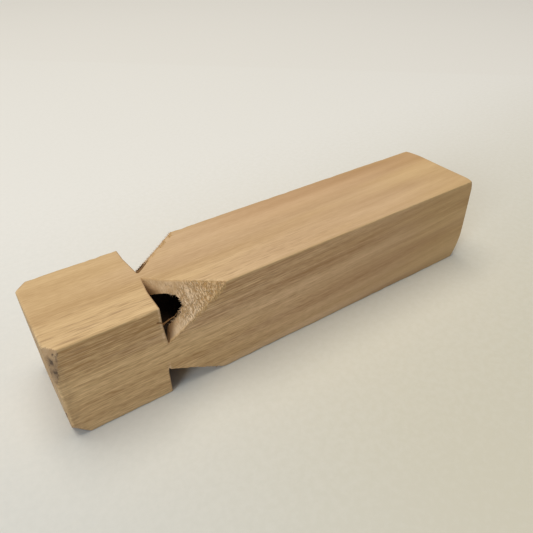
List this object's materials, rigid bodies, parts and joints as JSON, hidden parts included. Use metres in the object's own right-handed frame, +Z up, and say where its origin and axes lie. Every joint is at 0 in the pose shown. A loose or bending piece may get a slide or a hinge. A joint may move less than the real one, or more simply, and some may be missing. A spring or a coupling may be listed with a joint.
{
  "type": "train whistle",
  "caption": "Square hardwood block with stopped bores, a sloping notch in each long edge and flat-sided dowel plugs at the mouth end.",
  "frame": {"origin": "centre of the block's length and width, on the underside that it rests on", "axes": "+X along the block from the mouth end to the tail, +Z up, -Y towards the near side of the picture"},
  "size_m": [0.18, 0.038, 0.038],
  "materials": {
    "block_wood": "bare sanded, matt",
    "dowel_wood": "bare end grain and sanded flat, matt"
  },
  "bodies": {
    "root": {"whistle_body": "block_wood", "fipple_plug_near_top": "dowel_wood", "fipple_plug_far_top": "dowel_wood", "fipple_plug_near_bottom": "dowel_wood", "fipple_plug_far_bottom": "dowel_wood"}
  },
  "joints": []
}
